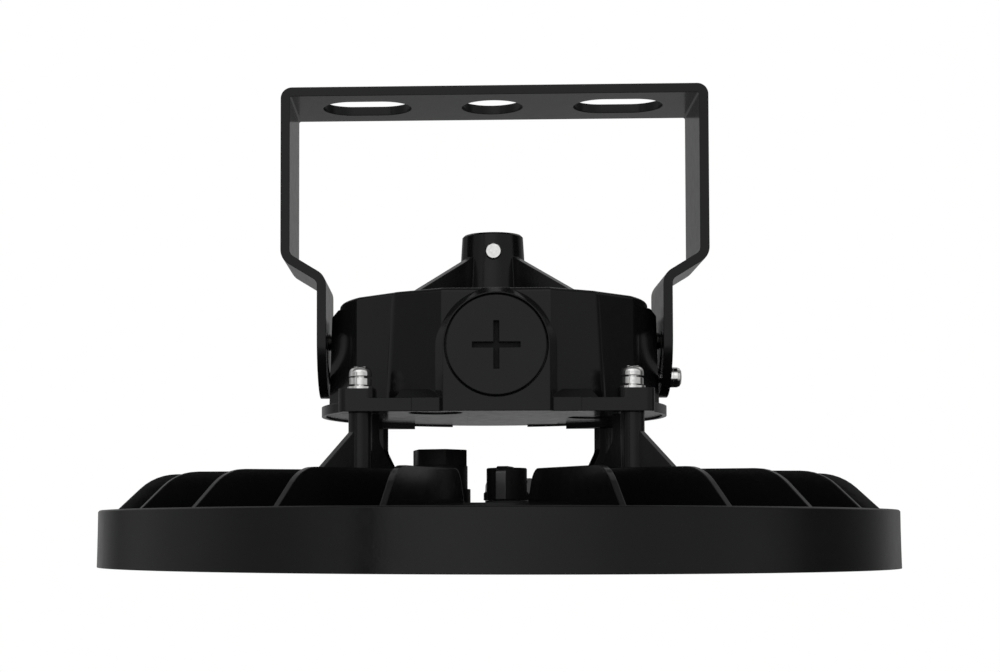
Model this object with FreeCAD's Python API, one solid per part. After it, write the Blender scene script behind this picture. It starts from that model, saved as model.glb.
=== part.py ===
"""High bay light: a round finned casting, its driver housing on four cast columns, and a tilting yoke.

Millimetres, +Z up. The origin is on the light's axis, level with the rim that the light can stand on.
The front, where the knock-out plug is, looks along -Y, and the yoke tilts about the X axis.
"""

import FreeCAD
import Part

import math
import os

EPS = 0.5  # how far a cutter runs past the face it opens
FRONT_TURN = -90.0  # from +X to the front
SCREW_PLAY = 0.05  # between a screw's shank and the hole it goes in
SMALL_CHAMFER = 0.3

# Heat sink: a round casting with radial fins, standing on its rim.
RIM_R = 140.0
RIM_DRAFT = 0.35
RIM_H = 19.6
RIM_WALL = 4.0
RIM_EDGE_CHAMFER = 0.5
BASE_UNDER_Z = 12.0
BASE_TOP_Z = 17.0
CHANNEL_W = 17.0
CHANNEL_FLOOR_Z = 12.5
PLATEAU_R = 46.0
PLATEAU_Z = 22.0

FIN_COUNT = 24
FIN_T = 1.9
FIN_TOE_R = 42.0
FIN_HEEL_R = 50.4
FIN_TOP_Z = 33.2
FIN_SHOULDER_IN = 19.5
FIN_SHOULDER_Z = 31.9
FIN_TIP_Z = 16.3
FIN_HEEL_ROUND = 9.0
FIN_SHOULDER_ROUND = 18.0

# Lens and light engine, inside the rim from below.
RIM_SEAT_WALL = 5.9
LENS_PLAY = 0.5
LENS_RING_Z = 2.4
LENS_RING_T = 1.5
LENS_RING_LAP = 9.0
LENS_SCREW_COUNT = 8
LENS_SCREW_IN = 3.0
LENS_SCREW_DEPTH = 6.0
LENS_IN = 6.6
LENS_T = 2.4
GASKET_T = 1.2
GASKET_W = 7.0
GASKET_IN = 1.5
LEDGE_LIP = 2.5
BOARD_GAP = 4.0
BOARD_T = 1.6
BOARD_EYE_R = 5.0
BOARD_SCREW_COUNT = 4
BOARD_SCREW_PITCH_R = 67.0
CHIP_L = 3.5
CHIP_W = 2.8
CHIP_T = 0.7
CHIP_RINGS = 5
CHIP_RING_LAST_IN = 18.0
CHIP_RING_STEP = 18.0
CHIPS_PER_RING_STEP = 6

# Four columns on the diagonal fins carry the driver housing.
COLUMN_GAP = 9.2
COLUMN_R = 4.0
COLUMN_TOP_Z = 52.0
WEB_T = 2.6
WEB_IN = 7.5
WEB_TOP_GAP = 0.3
WEB_KNEE_Z = 42.4
WEB_FOOT_IN = 15.5
GUSSET_OUT_TOP_Z = 46.5
GUSSET_OUT = 20.0
GUSSET_FOOT_Z = 31.0

# Driver housing: a round cup, open below, with a faceted front and a flat beside each column screw.
HOUSING_R = 54.8
HOUSING_WALL = 3.2
HOUSING_TOP_Z = 93.2
HOUSING_TOP_T = 3.6
HOUSING_EDGE_ROUND = 1.4
SIDE_FLAT_IN = 1.8
FRONT_IN = 3.5
FRONT_FACET_IN = 1.7
FRONT_FACET_TURN = 32.0
FRONT_HALF_X = 35.3
FRONT_FOOT_FLARE = 2.0
FRONT_DEPTH = 26.0
FRONT_CORNER = 4.5
FLANGE_OUT = 6.5
FLANGE_FRONT_OUT = 0.8
FLANGE_UNDER_Z = 53.2
FLANGE_TOP_Z = 56.5
WEDGE_OUT = 15.9
WEDGE_END_RUN = 2.5
WEDGE_H = 3.0
WEDGE_RUN = 3.1
LUG_IN = 5.25
LUG_OUT = 7.0
LUG_FOOT_IN = 12.0
LUG_ROUND = 3.0
LUG_REACH = 10.0
LUG_TOP_Z = 59.7
PAD_OUT = 3.4
PAD_DRAFT = 1.1
PAD_FLAT_HALF_Y = 8.0
PAD_BLEND = 0.2
PAD_TOP_Z = 90.2
PAD_CHAMFER_Z = 88.1

# Knock-out boss on the front of the housing, with its screwed plug.
BOSS_Z = 73.8
BOSS_OUT = 2.7
BOSS_RIM = 0.4
BOSS_SLOPE = 0.64
PLUG_R = 16.75
PLUG_GROOVE = 0.45
PLUG_HEAD_T = 3.0
PLUG_EDGE_CHAMFER = 0.35
PLUG_SINK = 0.2
PLUG_THREAD_R = 14.0
PLUG_THREAD_PLAY = 0.1
PLUG_DEPTH = 11.0
PLUG_BORE_R = 11.0
PLUG_FLOOR_T = 4.5
PLUG_SLOT_L = 15.9
PLUG_SLOT_W = 1.85
PLUG_SLOT_D = 2.2
PLUG_SEAL_T = 1.0

# Hanging hub on top of the housing, with four ribs between the yoke's legs.
HUB_TOP_Z = 118.3
HUB_TOP_R = 10.85
HUB_FOOT_R = 12.4
HUB_BORE_R = 7.9
HUB_BORE_FLOOR_Z = 97.0
HUB_EDGE_CHAMFER = 0.7
HUB_SCREW_Z = 111.3
HUB_SCREW_R = 2.8
HUB_SCREW_PROUD = 0.9
HUB_SCREW_SINK = 1.2
HUB_SCREW_KEY_R = 1.5
HUB_SCREW_KEY_D = 2.4
RIB_T = 3.2
RIB_TOP_Z = 109.9
RIB_END_IN = 12.8

# Plate that closes the housing from below.
COVER_T = 1.0
COVER_SINK = 0.6
COVER_LIP = 1.5
COVER_PLAY = 0.3
COVER_GASKET_T = 0.8
COVER_GASKET_W = 4.0
COVER_NOTCH_HALF_X = 14.5
COVER_SCREW_IN = 8.6
COVER_DIMPLE_R = 9.5
COVER_DIMPLE_D = 0.5
COVER_DIMPLES = ((-20.4, -16.7), (36.8, 10.5))
COVER_PANEL = (-9.0, 25.0, -30.0, 42.5)
COVER_PANEL_D = 0.4
COVER_SCREW_TURNS = (0.0, 90.0, 180.0, 232.0, 308.0)
POST_R = 4.0
POST_H = 12.0

# What the housing holds.
DRIVER_SIDE_IN = 18.8
DRIVER_REAR_IN = 24.8
DRIVER_L = 46.0
DRIVER_H = 26.0
DRIVER_CHAMFER = 1.5
TERMINAL_GAP = 6.0
TERMINAL_L = 12.0
TERMINAL_HALF_W = 14.0
TERMINAL_H = 13.0
TERMINAL_WAYS = 4
TERMINAL_WAY_R = 1.8
TERMINAL_WAY_D = 6.0

# Cable gland and breather on the plateau under the housing.
GLAND_X = -18.9
GLAND_Y = -20.0
GLAND_THREAD_R = 7.0
GLAND_FLANGE_R = 10.6
GLAND_FLANGE_TOP_Z = 27.0
GLAND_NECK_R = 7.4
GLAND_NECK_TOP_Z = 33.5
GLAND_CAP_R = 9.2
GLAND_CAP_HEX_Z = 35.2
GLAND_CAP_TOP_Z = 40.6
GLAND_CAP_CHAMFER = 1.2
GLAND_EYE_R = 4.0
GLAND_WALL = 1.4
VENT_X = 4.0
VENT_Y = -28.0
VENT_THREAD_R = 4.8
VENT_SEAL_R = 7.2
VENT_SEAL_T = 0.8
VENT_FLANGE_R = 7.7
VENT_FLANGE_TOP_Z = 26.0
VENT_CAP_R = 6.65
VENT_TOP_Z = 34.0
VENT_CHAMFER = 0.6
VENT_RIB_T = 3.8
VENT_RIB_H = 0.6
VENT_RIB_TURN = 70.0

# Yoke: one flat bar bent to a bridge, its legs jogged in to the housing's pads.
BAR_T = 3.2
BAR_W = 40.4
YOKE_TOP_Z = 168.3
YOKE_JOG = 12.8
LEG_PLAY = 0.4
KNEE_HIGH_Z = 108.6
KNEE_LOW_Z = 100.8
TOP_BEND_R = 2.3
KNEE_BEND_R = 4.2
SLOT_X = 45.0
SLOT_L = 32.0
SLOT_W = 21.5
CENTRE_HOLE_R = 11.0

PIVOT_Z = 80.3
PIVOT_R = 3.0
PIVOT_PLAY = 0.05
PIVOT_THREAD_R = 2.5
PIVOT_HEAD_R = 4.9
PIVOT_HEAD_SINK_R = 5.3
PIVOT_HEAD_T = 1.6
PIVOT_SHOULDER_END = 0.1
PIVOT_DEPTH = 5.0
TILT_SLOT_R = 13.0
TILT_SLOT_W = 4.6

LOCK_BOLT_R = 2.0
LOCK_BOLT_DEPTH = 5.0
LOCK_HEAD_R = 3.6
LOCK_HEAD_T = 2.9
LOCK_WASHER_T = 0.8
LOCK_SPRING_T = 1.2

# Screws that hold the housing on its columns, each with a flat and a spring washer.
COLUMN_SCREW_R = 2.0
COLUMN_SCREW_DEPTH = 12.0
COLUMN_HEAD_R = 3.8
COLUMN_HEAD_T = 3.2
FLAT_WASHER_R = 4.4
FLAT_WASHER_T = 0.95
SPRING_WASHER_T = 3.4
SPRING_WASHER_LEAN = 0.9
SPRING_WASHER_SPLIT = 0.6
LUG_HOLE_PLAY = 0.25

SMALL_SCREW_R = 1.5
SMALL_HEAD_R = 2.8
SMALL_HEAD_T = 1.6
SMALL_SCREW_L = 5.0

# Levels and radii worked out from the sizes above.
LENS_Z = LENS_RING_Z + LENS_RING_T
GASKET_Z = LENS_Z + LENS_T
LEDGE_Z = GASKET_Z + GASKET_T
LENS_RING_OUT_R = RIM_R - RIM_SEAT_WALL - LENS_PLAY
LENS_SCREW_PITCH_R = LENS_RING_OUT_R - LENS_SCREW_IN
LENS_R = LENS_RING_OUT_R - LENS_IN
LENS_RING_IN_R = LENS_R - LENS_RING_LAP
GASKET_OUT_R = LENS_R - GASKET_IN
GASKET_IN_R = GASKET_OUT_R - GASKET_W
CAVITY_R = GASKET_IN_R - LEDGE_LIP
BOARD_R = CAVITY_R - BOARD_GAP
BASE_R = RIM_R - RIM_WALL - CHANNEL_W
FIN_PITCH = 360.0 / FIN_COUNT
COLUMN_PITCH_R = HOUSING_R + COLUMN_GAP
COLUMN_X = COLUMN_PITCH_R / math.sqrt(2)
FRONT_Y = FRONT_IN - HOUSING_R
BOSS_FRONT_Y = FRONT_Y - BOSS_OUT
BOSS_R = PLUG_R + PLUG_GROOVE + BOSS_RIM
FLANGE_R = HOUSING_R + FLANGE_OUT
FLANGE_FRONT_Y = FRONT_Y - FLANGE_FRONT_OUT
PAD_FOOT_X = HOUSING_R + PAD_OUT
COVER_Z = FLANGE_UNDER_Z + COVER_SINK
COVER_TOP_Z = COVER_Z + COVER_T
COVER_SCREW_R = HOUSING_R - COVER_SCREW_IN
CAVITY_Z = COVER_TOP_Z + COVER_GASKET_T
LEG_IN_X = PAD_FOOT_X + LEG_PLAY
LEG_OUT_X = LEG_IN_X + BAR_T
YOKE_UPPER_X = LEG_OUT_X + YOKE_JOG
LOCK_BOLT_Z = PIVOT_Z - TILT_SLOT_R
UP = FreeCAD.Vector(0, 0, 1)


def vec(x, y, z):
    return FreeCAD.Vector(x, y, z)


def in_plan(u, v):
    """A point of a section drawn flat, seen from above."""
    return vec(u, v, 0)


def in_front(u, v):
    """A point of a section that stands upright across the light."""
    return vec(u, 0, v)


def box(x0, x1, y0, y1, z0, z1):
    return Part.makeBox(x1 - x0, y1 - y0, z1 - z0, vec(x0, y0, z0))


def disc(radius, z0, z1, x=0.0, y=0.0):
    return Part.makeCylinder(radius, z1 - z0, vec(x, y, z0))


def ring(inner, outer, z0, z1, x=0.0, y=0.0):
    return disc(outer, z0, z1, x, y).cut(disc(inner, z0 - EPS, z1 + EPS, x, y))


def rod(radius, start, end):
    """A round bar from one point to another."""
    run = end - start
    return Part.makeCylinder(radius, run.Length, start, run)


def rounded_face(corners, place):
    """A flat face through (u, v, radius) corners, each turned by a tangent arc of its own radius."""
    turns = []
    for i, (u, v, radius) in enumerate(corners):
        here = vec(u, v, 0)
        before = vec(*corners[i - 1][:2], 0)
        after = vec(*corners[(i + 1) % len(corners)][:2], 0)
        back = (before - here).normalize()
        on = (after - here).normalize()
        if radius == 0:
            turns.append((here, None, here))
            continue
        half = back.getAngle(on) / 2
        inward = (back + on).normalize()
        run = radius / math.tan(half)
        crown = here + inward * (radius / math.sin(half) - radius)
        turns.append((here + back * run, crown, here + on * run))
    edges = []
    for i, (start, crown, end) in enumerate(turns):
        last = turns[i - 1][2]
        if last.distanceToPoint(start) > 1e-6:
            edges.append(Part.LineSegment(place(last.x, last.y), place(start.x, start.y)).toShape())
        if crown:
            arc = Part.Arc(place(start.x, start.y), place(crown.x, crown.y), place(end.x, end.y))
            edges.append(arc.toShape())
    return Part.Face(Part.Wire(Part.__sortEdges__(edges)))


def lathe(corners):
    """The solid that a closed outline of (radius, z, rounding) corners sweeps about the light's axis."""
    return rounded_face(corners, in_front).revolve(vec(0, 0, 0), UP, 360)


def strip_face(path, thickness, place):
    """Section of a bent bar whose middle line runs through (u, v, bend radius) points."""
    left, right = [], []
    points = [vec(u, v, 0) for u, v, _ in path]
    for i, (u, v, radius) in enumerate(path):
        into = (points[i] - points[i - 1]).normalize() if i > 0 else None
        out = (points[i + 1] - points[i]).normalize() if i + 1 < len(path) else into
        into = into or out
        side_in = vec(-into.y, into.x, 0)
        side_out = vec(-out.y, out.x, 0)
        reach = (side_in + side_out) * (thickness / 2 / (1 + side_in.dot(side_out)))
        lean = math.copysign(thickness / 2, into.cross(out).z) if radius else 0.0
        left.append((u + reach.x, v + reach.y, radius - lean if radius else 0))
        right.append((u - reach.x, v - reach.y, radius + lean if radius else 0))
    return rounded_face(left + right[::-1], place)


def obround(length, width, z0, z1, x):
    """A slot along X with round ends."""
    run = (length - width) / 2
    middle = box(x - run, x + run, -width / 2, width / 2, z0, z1)
    return middle.fuse([disc(width / 2, z0, z1, x - run), disc(width / 2, z0, z1, x + run)])


def turned(shape, degrees):
    """A copy turned about the light's axis."""
    copy = shape.copy()
    copy.rotate(vec(0, 0, 0), UP, degrees)
    return copy


def moved(shape, x=0.0, y=0.0, z=0.0):
    copy = shape.copy()
    copy.translate(vec(x, y, z))
    return copy


def mirrored_x(shape):
    return shape.mirror(vec(0, 0, 0), vec(1, 0, 0))


def around(shape, count, first=0.0):
    return [turned(shape, first + 360.0 * i / count) for i in range(count)]


def chamfered(shape, size, chosen):
    """Chamfers the edges whose bounding box the test chooses."""
    return shape.makeChamfer(size, [edge for edge in shape.Edges if chosen(edge.BoundBox)])


def filleted(shape, radius, chosen):
    return shape.makeFillet(radius, [edge for edge in shape.Edges if chosen(edge.BoundBox)])


def cross(length, width, depth):
    """The cutter of a cross recess that opens upwards at z = 0."""
    bar = box(-length / 2, length / 2, -width / 2, width / 2, -depth, EPS)
    return bar.fuse(turned(bar, 90))


def pan_screw(shank_r, shank_l, head_r, head_t):
    """A cross-recess pan screw: head upwards, its seat at z = 0."""
    crown = [(head_r, head_t * 0.5, 0), (head_r * 0.9, head_t * 0.82, 0), (head_r * 0.66, head_t, 0)]
    head = lathe([(0, 0, 0), (head_r, 0, 0), *crown, (0, head_t, 0)])
    shank = chamfered(disc(shank_r, -shank_l, 0), shank_r * 0.3, lambda box: box.ZMax < 0)
    recess = moved(cross(head_r * 1.15, head_r * 0.24, head_t * 0.55), z=head_t)
    return head.fuse(shank).cut(recess).removeSplitter()


def small_screw(length=SMALL_SCREW_L):
    """One of the light's small screws: head downwards, its seat at z = 0, the shank going up."""
    head = Part.makeCone(SMALL_HEAD_R * 0.8, SMALL_HEAD_R, SMALL_HEAD_T, vec(0, 0, -SMALL_HEAD_T))
    recess = cross(SMALL_HEAD_R * 1.1, SMALL_HEAD_R * 0.25, SMALL_HEAD_T * 0.55)
    recess.rotate(vec(0, 0, 0), vec(1, 0, 0), 180)
    return head.fuse(disc(SMALL_SCREW_R, 0, length)).cut(moved(recess, z=-SMALL_HEAD_T)).removeSplitter()


def flat_screw(play=0.0):
    """A countersunk small screw, its flat head at z = 0 and its shank going up, or the hole it goes in."""
    cone_h = SMALL_HEAD_R - SMALL_SCREW_R
    cone = Part.makeCone(SMALL_HEAD_R + play, SMALL_SCREW_R + play, cone_h)
    shape = cone.fuse(disc(SMALL_SCREW_R + play, 0, SMALL_SCREW_L))
    if play:
        return shape
    recess = cross(SMALL_HEAD_R, SMALL_HEAD_R * 0.25, cone_h * 0.6)
    recess.rotate(vec(0, 0, 0), vec(1, 0, 0), 180)
    return shape.cut(recess).removeSplitter()


def rim_and_base():
    """The casting's turned body: rim, lens seat, base plate and the plateau in its middle."""
    wall_in = RIM_R - RIM_WALL
    ring_seat_r = LENS_RING_OUT_R + LENS_PLAY
    lens_seat_r = LENS_R + LENS_PLAY
    return lathe(
        [
            (RIM_R, 0, 0),
            (RIM_R - RIM_DRAFT, RIM_H - RIM_EDGE_CHAMFER, 0),
            (RIM_R - RIM_DRAFT - RIM_EDGE_CHAMFER, RIM_H, 0),
            (wall_in + RIM_EDGE_CHAMFER, RIM_H, 0),
            (wall_in, RIM_H - RIM_EDGE_CHAMFER, 0),
            (wall_in, CHANNEL_FLOOR_Z, 0),
            (BASE_R, CHANNEL_FLOOR_Z, 0),
            (BASE_R, BASE_TOP_Z, 0),
            (PLATEAU_R, BASE_TOP_Z, 0),
            (PLATEAU_R, PLATEAU_Z, 0),
            (0, PLATEAU_Z, 0),
            (0, BASE_UNDER_Z, 0),
            (CAVITY_R, BASE_UNDER_Z, 0),
            (CAVITY_R, LEDGE_Z, 0),
            (lens_seat_r, LEDGE_Z, 0),
            (lens_seat_r, LENS_Z, 0),
            (ring_seat_r, LENS_Z, 0),
            (ring_seat_r, 0, 0),
        ]
    )


def radial_plate(corners, thickness):
    """A plate that stands on a radius at +X, drawn by its (radius, z, rounding) corners."""
    face = rounded_face(corners, in_front)
    return moved(face.extrude(vec(0, thickness, 0)), y=-thickness / 2)


def fin():
    foot_z = (BASE_UNDER_Z + CHANNEL_FLOOR_Z) / 2
    tip_r = RIM_R - RIM_WALL + 1
    return radial_plate(
        [
            (FIN_TOE_R, foot_z, 0),
            (FIN_TOE_R, BASE_TOP_Z, 0),
            (FIN_HEEL_R, FIN_TOP_Z, FIN_HEEL_ROUND),
            (RIM_R - FIN_SHOULDER_IN, FIN_SHOULDER_Z, FIN_SHOULDER_ROUND),
            (tip_r, FIN_TIP_Z, 0),
            (tip_r, foot_z, 0),
        ],
        FIN_T,
    )


def column():
    """One column at +X with the web inside it and the gusset outside, both in the plane of its fin."""
    web = radial_plate(
        [
            (COLUMN_PITCH_R - WEB_FOOT_IN, GUSSET_FOOT_Z, 0),
            (COLUMN_PITCH_R - WEB_IN, WEB_KNEE_Z, 4.0),
            (COLUMN_PITCH_R - WEB_IN, COLUMN_TOP_Z - WEB_TOP_GAP, 0),
            (COLUMN_PITCH_R, COLUMN_TOP_Z - WEB_TOP_GAP, 0),
            (COLUMN_PITCH_R + COLUMN_R * 0.7, GUSSET_OUT_TOP_Z, 0),
            (COLUMN_PITCH_R + GUSSET_OUT, GUSSET_FOOT_Z, 0),
        ],
        WEB_T,
    )
    post = disc(COLUMN_R, BASE_TOP_Z - 1, COLUMN_TOP_Z, COLUMN_PITCH_R)
    return post.fuse(web)


def heatsink():
    fins = [turned(fin(), FRONT_TURN + FIN_PITCH * i) for i in range(1, FIN_COUNT)]
    body = rim_and_base().fuse(fins + around(column(), 4, 45))
    thread_r = COLUMN_SCREW_R + SCREW_PLAY
    column_hole = disc(thread_r, COLUMN_TOP_Z - COLUMN_SCREW_DEPTH - 1, COLUMN_TOP_Z + EPS, COLUMN_PITCH_R)
    small_r = SMALL_SCREW_R + SCREW_PLAY
    lens_hole = disc(small_r, LENS_Z - EPS, LENS_RING_Z + LENS_SCREW_DEPTH + 1, LENS_SCREW_PITCH_R)
    board_top = BASE_UNDER_Z - BOARD_T + SMALL_SCREW_L + SCREW_PLAY
    board_hole = disc(small_r, BASE_UNDER_Z - EPS, board_top, BOARD_SCREW_PITCH_R)
    cutters = around(column_hole, 4, 45)
    cutters += around(lens_hole, LENS_SCREW_COUNT, 180.0 / LENS_SCREW_COUNT)
    cutters += around(board_hole, BOARD_SCREW_COUNT, FIN_PITCH / 2)
    gland_r = GLAND_THREAD_R + SCREW_PLAY
    vent_r = VENT_THREAD_R + SCREW_PLAY
    cutters.append(disc(gland_r, BASE_UNDER_Z - EPS, PLATEAU_Z + EPS, GLAND_X, GLAND_Y))
    cutters.append(disc(vent_r, BASE_UNDER_Z - EPS, PLATEAU_Z + EPS, VENT_X, VENT_Y))
    return body.cut(cutters).removeSplitter()


def chips():
    """The light engine's chips, in rings under the board."""
    top = BASE_UNDER_Z - BOARD_T
    found = []
    for i in range(CHIP_RINGS):
        radius = BOARD_R - CHIP_RING_LAST_IN - CHIP_RING_STEP * (CHIP_RINGS - 1 - i)
        chip = box(radius - CHIP_W / 2, radius + CHIP_W / 2, -CHIP_L / 2, CHIP_L / 2, top - CHIP_T, top)
        found += around(chip, CHIPS_PER_RING_STEP * (i + 1))
    return Part.makeCompound(found)


def light_engine():
    """Board, chips, lens, its gasket and ring, and their screws."""
    board_z = BASE_UNDER_Z - BOARD_T
    small_r = SMALL_SCREW_R + SCREW_PLAY
    board = ring(BOARD_EYE_R, BOARD_R, board_z, BASE_UNDER_Z)
    board_hole = disc(small_r, board_z - EPS, BASE_UNDER_Z + EPS, BOARD_SCREW_PITCH_R)
    first_board = FIN_PITCH / 2
    board = board.cut(around(board_hole, BOARD_SCREW_COUNT, first_board))
    clamp = ring(LENS_RING_IN_R, LENS_RING_OUT_R, LENS_RING_Z, LENS_Z)
    clamp_hole = disc(small_r, LENS_RING_Z - EPS, LENS_Z + EPS, LENS_SCREW_PITCH_R)
    first_lens = 180.0 / LENS_SCREW_COUNT
    clamp = clamp.cut(around(clamp_hole, LENS_SCREW_COUNT, first_lens))
    pieces = {
        "led_board": board,
        "led_chips": chips(),
        "lens_plate": disc(LENS_R, LENS_Z, GASKET_Z),
        "lens_gasket": ring(GASKET_IN_R, GASKET_OUT_R, GASKET_Z, LEDGE_Z),
        "lens_ring": clamp,
    }
    lens_screw = moved(small_screw(LENS_SCREW_DEPTH), LENS_SCREW_PITCH_R, 0, LENS_RING_Z)
    for i, screw in enumerate(around(lens_screw, LENS_SCREW_COUNT, first_lens)):
        pieces[f"lens_screw_{i + 1}"] = screw
    board_screw = moved(small_screw(), BOARD_SCREW_PITCH_R, 0, board_z)
    for i, screw in enumerate(around(board_screw, BOARD_SCREW_COUNT, first_board)):
        pieces[f"board_screw_{i + 1}"] = screw
    return pieces


def cup_plan(radius, front_y, z0, z1):
    """A disc with its front cut straight, the plan of the flange and of the plate under it."""
    return disc(radius, z0, z1).common(box(-radius, radius, front_y, radius, z0, z1))


def trimmed(shape, turn, distance, z0, z1):
    """Trims a shape by the upright plane that faces the given turn from the front."""
    wide = 2 * HOUSING_R
    return shape.common(turned(box(-wide, wide, -distance, wide, z0, z1), turn))


def side_trimmed(shape, inset, z0, z1):
    """Trims a shape by the flats beside the four column screws, or by planes that lie inside them."""
    for i in range(4):
        shape = trimmed(shape, 45 + 90 * i, HOUSING_R - SIDE_FLAT_IN - inset, z0, z1)
    return shape


def front_trimmed(shape, inset, z0, z1):
    """Trims a shape by the front and the facet at each side of it, or by planes that lie inside them."""
    shape = trimmed(shape, 0, -FRONT_Y - inset, z0, z1)
    for turn in (-FRONT_FACET_TURN, FRONT_FACET_TURN):
        shape = trimmed(shape, turn, HOUSING_R - FRONT_FACET_IN - inset, z0, z1)
    return shape


def front_block():
    """The faceted front of the housing, wider at its foot, with rounded upright corners."""
    foot_x = FRONT_HALF_X + FRONT_FOOT_FLARE
    foot_z = FLANGE_TOP_Z - EPS
    outline = [
        (-foot_x, foot_z, 0),
        (foot_x, foot_z, 0),
        (FRONT_HALF_X, HOUSING_TOP_Z, 0),
        (-FRONT_HALF_X, HOUSING_TOP_Z, 0),
    ]
    depth = FRONT_DEPTH + EPS
    block = moved(rounded_face(outline, in_front).extrude(vec(0, depth, 0)), y=FRONT_Y - EPS)
    block = front_trimmed(block, 0, foot_z, HOUSING_TOP_Z)
    middle_y = FRONT_Y + FRONT_DEPTH / 2
    return filleted(
        block,
        FRONT_CORNER,
        lambda edge: edge.ZLength > 10 and edge.YMax < middle_y and max(edge.XMax, -edge.XMin) > FRONT_HALF_X - EPS,
    )


def boss():
    """The arched boss round the knock-out, with sloped sides, down to the flange's underside."""
    back_y = FRONT_Y + HOUSING_WALL
    depth = back_y - BOSS_FRONT_Y
    root = BOSS_R + BOSS_SLOPE * depth
    plan = [(-root, back_y, 0), (root, back_y, 0), (BOSS_R, BOSS_FRONT_Y, 0), (-BOSS_R, BOSS_FRONT_Y, 0)]
    leg = moved(rounded_face(plan, in_plan).extrude(vec(0, 0, BOSS_Z - COLUMN_TOP_Z)), z=COLUMN_TOP_Z)
    arch = Part.makeCone(root, BOSS_R, depth, vec(0, back_y, BOSS_Z), vec(0, -1, 0))
    below_top = box(-root, root, BOSS_FRONT_Y, back_y, COLUMN_TOP_Z, HOUSING_TOP_Z)
    return leg.fuse(arch).removeSplitter().common(below_top)


def pad():
    """The raised pad at +X that the yoke's leg swings against, its flanks running into the round wall."""
    corner = vec(PAD_FOOT_X, PAD_FLAT_HALF_Y, 0)
    wall_r = HOUSING_R - PAD_BLEND
    touch = math.atan2(corner.y, corner.x) + math.acos(wall_r / corner.Length)
    touch_x, touch_y = wall_r * math.cos(touch), wall_r * math.sin(touch)
    plan = [
        (touch_x, -touch_y, 0),
        (corner.x, -corner.y, 0),
        (corner.x, corner.y, 0),
        (touch_x, touch_y, 0),
    ]
    foot_z = FLANGE_TOP_Z - EPS
    block = moved(rounded_face(plan, in_plan).extrude(vec(0, 0, PAD_TOP_Z - foot_z)), z=foot_z)
    side = [
        (touch_x, foot_z, 0),
        (PAD_FOOT_X, foot_z, 0),
        (PAD_FOOT_X - PAD_DRAFT, PAD_CHAMFER_Z, 0),
        (wall_r, PAD_TOP_Z, 0),
        (touch_x, PAD_TOP_Z, 0),
    ]
    slopes = moved(rounded_face(side, in_front).extrude(vec(0, 2 * touch_y, 0)), y=-touch_y)
    return block.common(slopes)


def lug():
    """The corner lug at +X +Y that stands on a column, square outside and let into the flange."""
    near, far = COLUMN_X - LUG_IN, COLUMN_X + LUG_OUT
    raised = [(near, near, 0), (far, near, LUG_ROUND), (far, far, LUG_ROUND), (near, far, LUG_ROUND)]
    top = rounded_face(raised, in_plan).extrude(vec(0, 0, LUG_TOP_Z - COLUMN_TOP_Z))
    inner = near - LUG_FOOT_IN
    low = [(inner, inner, 0), (far, inner, 0), (far, far, LUG_ROUND), (inner, far, 0)]
    foot = rounded_face(low, in_plan).extrude(vec(0, 0, FLANGE_TOP_Z - COLUMN_TOP_Z))
    reach = disc(COLUMN_PITCH_R + LUG_REACH, COLUMN_TOP_Z, LUG_TOP_Z)
    return moved(top.fuse(foot), z=COLUMN_TOP_Z).common(reach)


def wedge():
    """The sloped stiffener between flange and front, beside the boss at +X, and the flange's lip below it."""
    start_x, end_x = BOSS_R - EPS, BOSS_R + WEDGE_OUT
    back_y = FRONT_Y + FRONT_DEPTH / 2
    crest_y = FLANGE_FRONT_Y + WEDGE_RUN
    crest_z = FLANGE_TOP_Z + WEDGE_H
    outline = [
        vec(start_x, FLANGE_FRONT_Y, FLANGE_TOP_Z),
        vec(start_x, crest_y, crest_z),
        vec(start_x, back_y, crest_z),
        vec(start_x, back_y, FLANGE_TOP_Z - EPS),
        vec(start_x, FLANGE_FRONT_Y, FLANGE_TOP_Z - EPS),
    ]
    bar = Part.Face(Part.makePolygon(outline + outline[:1])).extrude(vec(end_x - start_x, 0, 0))
    slope = [(end_x, FLANGE_TOP_Z, 0), (end_x, crest_z + EPS, 0), (end_x - WEDGE_END_RUN, crest_z + EPS, 0)]
    cut = moved(rounded_face(slope, in_front).extrude(vec(0, FRONT_DEPTH, 0)), y=FLANGE_FRONT_Y - EPS)
    return bar.cut(cut)


def front_lip():
    """The flange's front edge, which hangs as low as the lugs at its ends and hides the plate's edge."""
    return box(-COLUMN_X, COLUMN_X, FLANGE_FRONT_Y, FLANGE_FRONT_Y + COVER_LIP, COLUMN_TOP_Z, FLANGE_TOP_Z)


def hub():
    tube = lathe(
        [
            (0, HOUSING_TOP_Z - 1, 0),
            (HUB_FOOT_R, HOUSING_TOP_Z - 1, 0),
            (HUB_TOP_R, HUB_TOP_Z - HUB_EDGE_CHAMFER, 0),
            (HUB_TOP_R - HUB_EDGE_CHAMFER, HUB_TOP_Z, 0),
            (0, HUB_TOP_Z, 0),
        ]
    )
    rib_end_r = HOUSING_R - RIB_END_IN
    rib = radial_plate(
        [
            (0, HOUSING_TOP_Z - 1, 0),
            (0, RIB_TOP_Z, 0),
            (HUB_TOP_R, RIB_TOP_Z, 0),
            (rib_end_r, HOUSING_TOP_Z, 0),
            (rib_end_r, HOUSING_TOP_Z - 1, 0),
        ],
        RIB_T,
    )
    return tube.fuse(around(rib, 4, 45))


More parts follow.
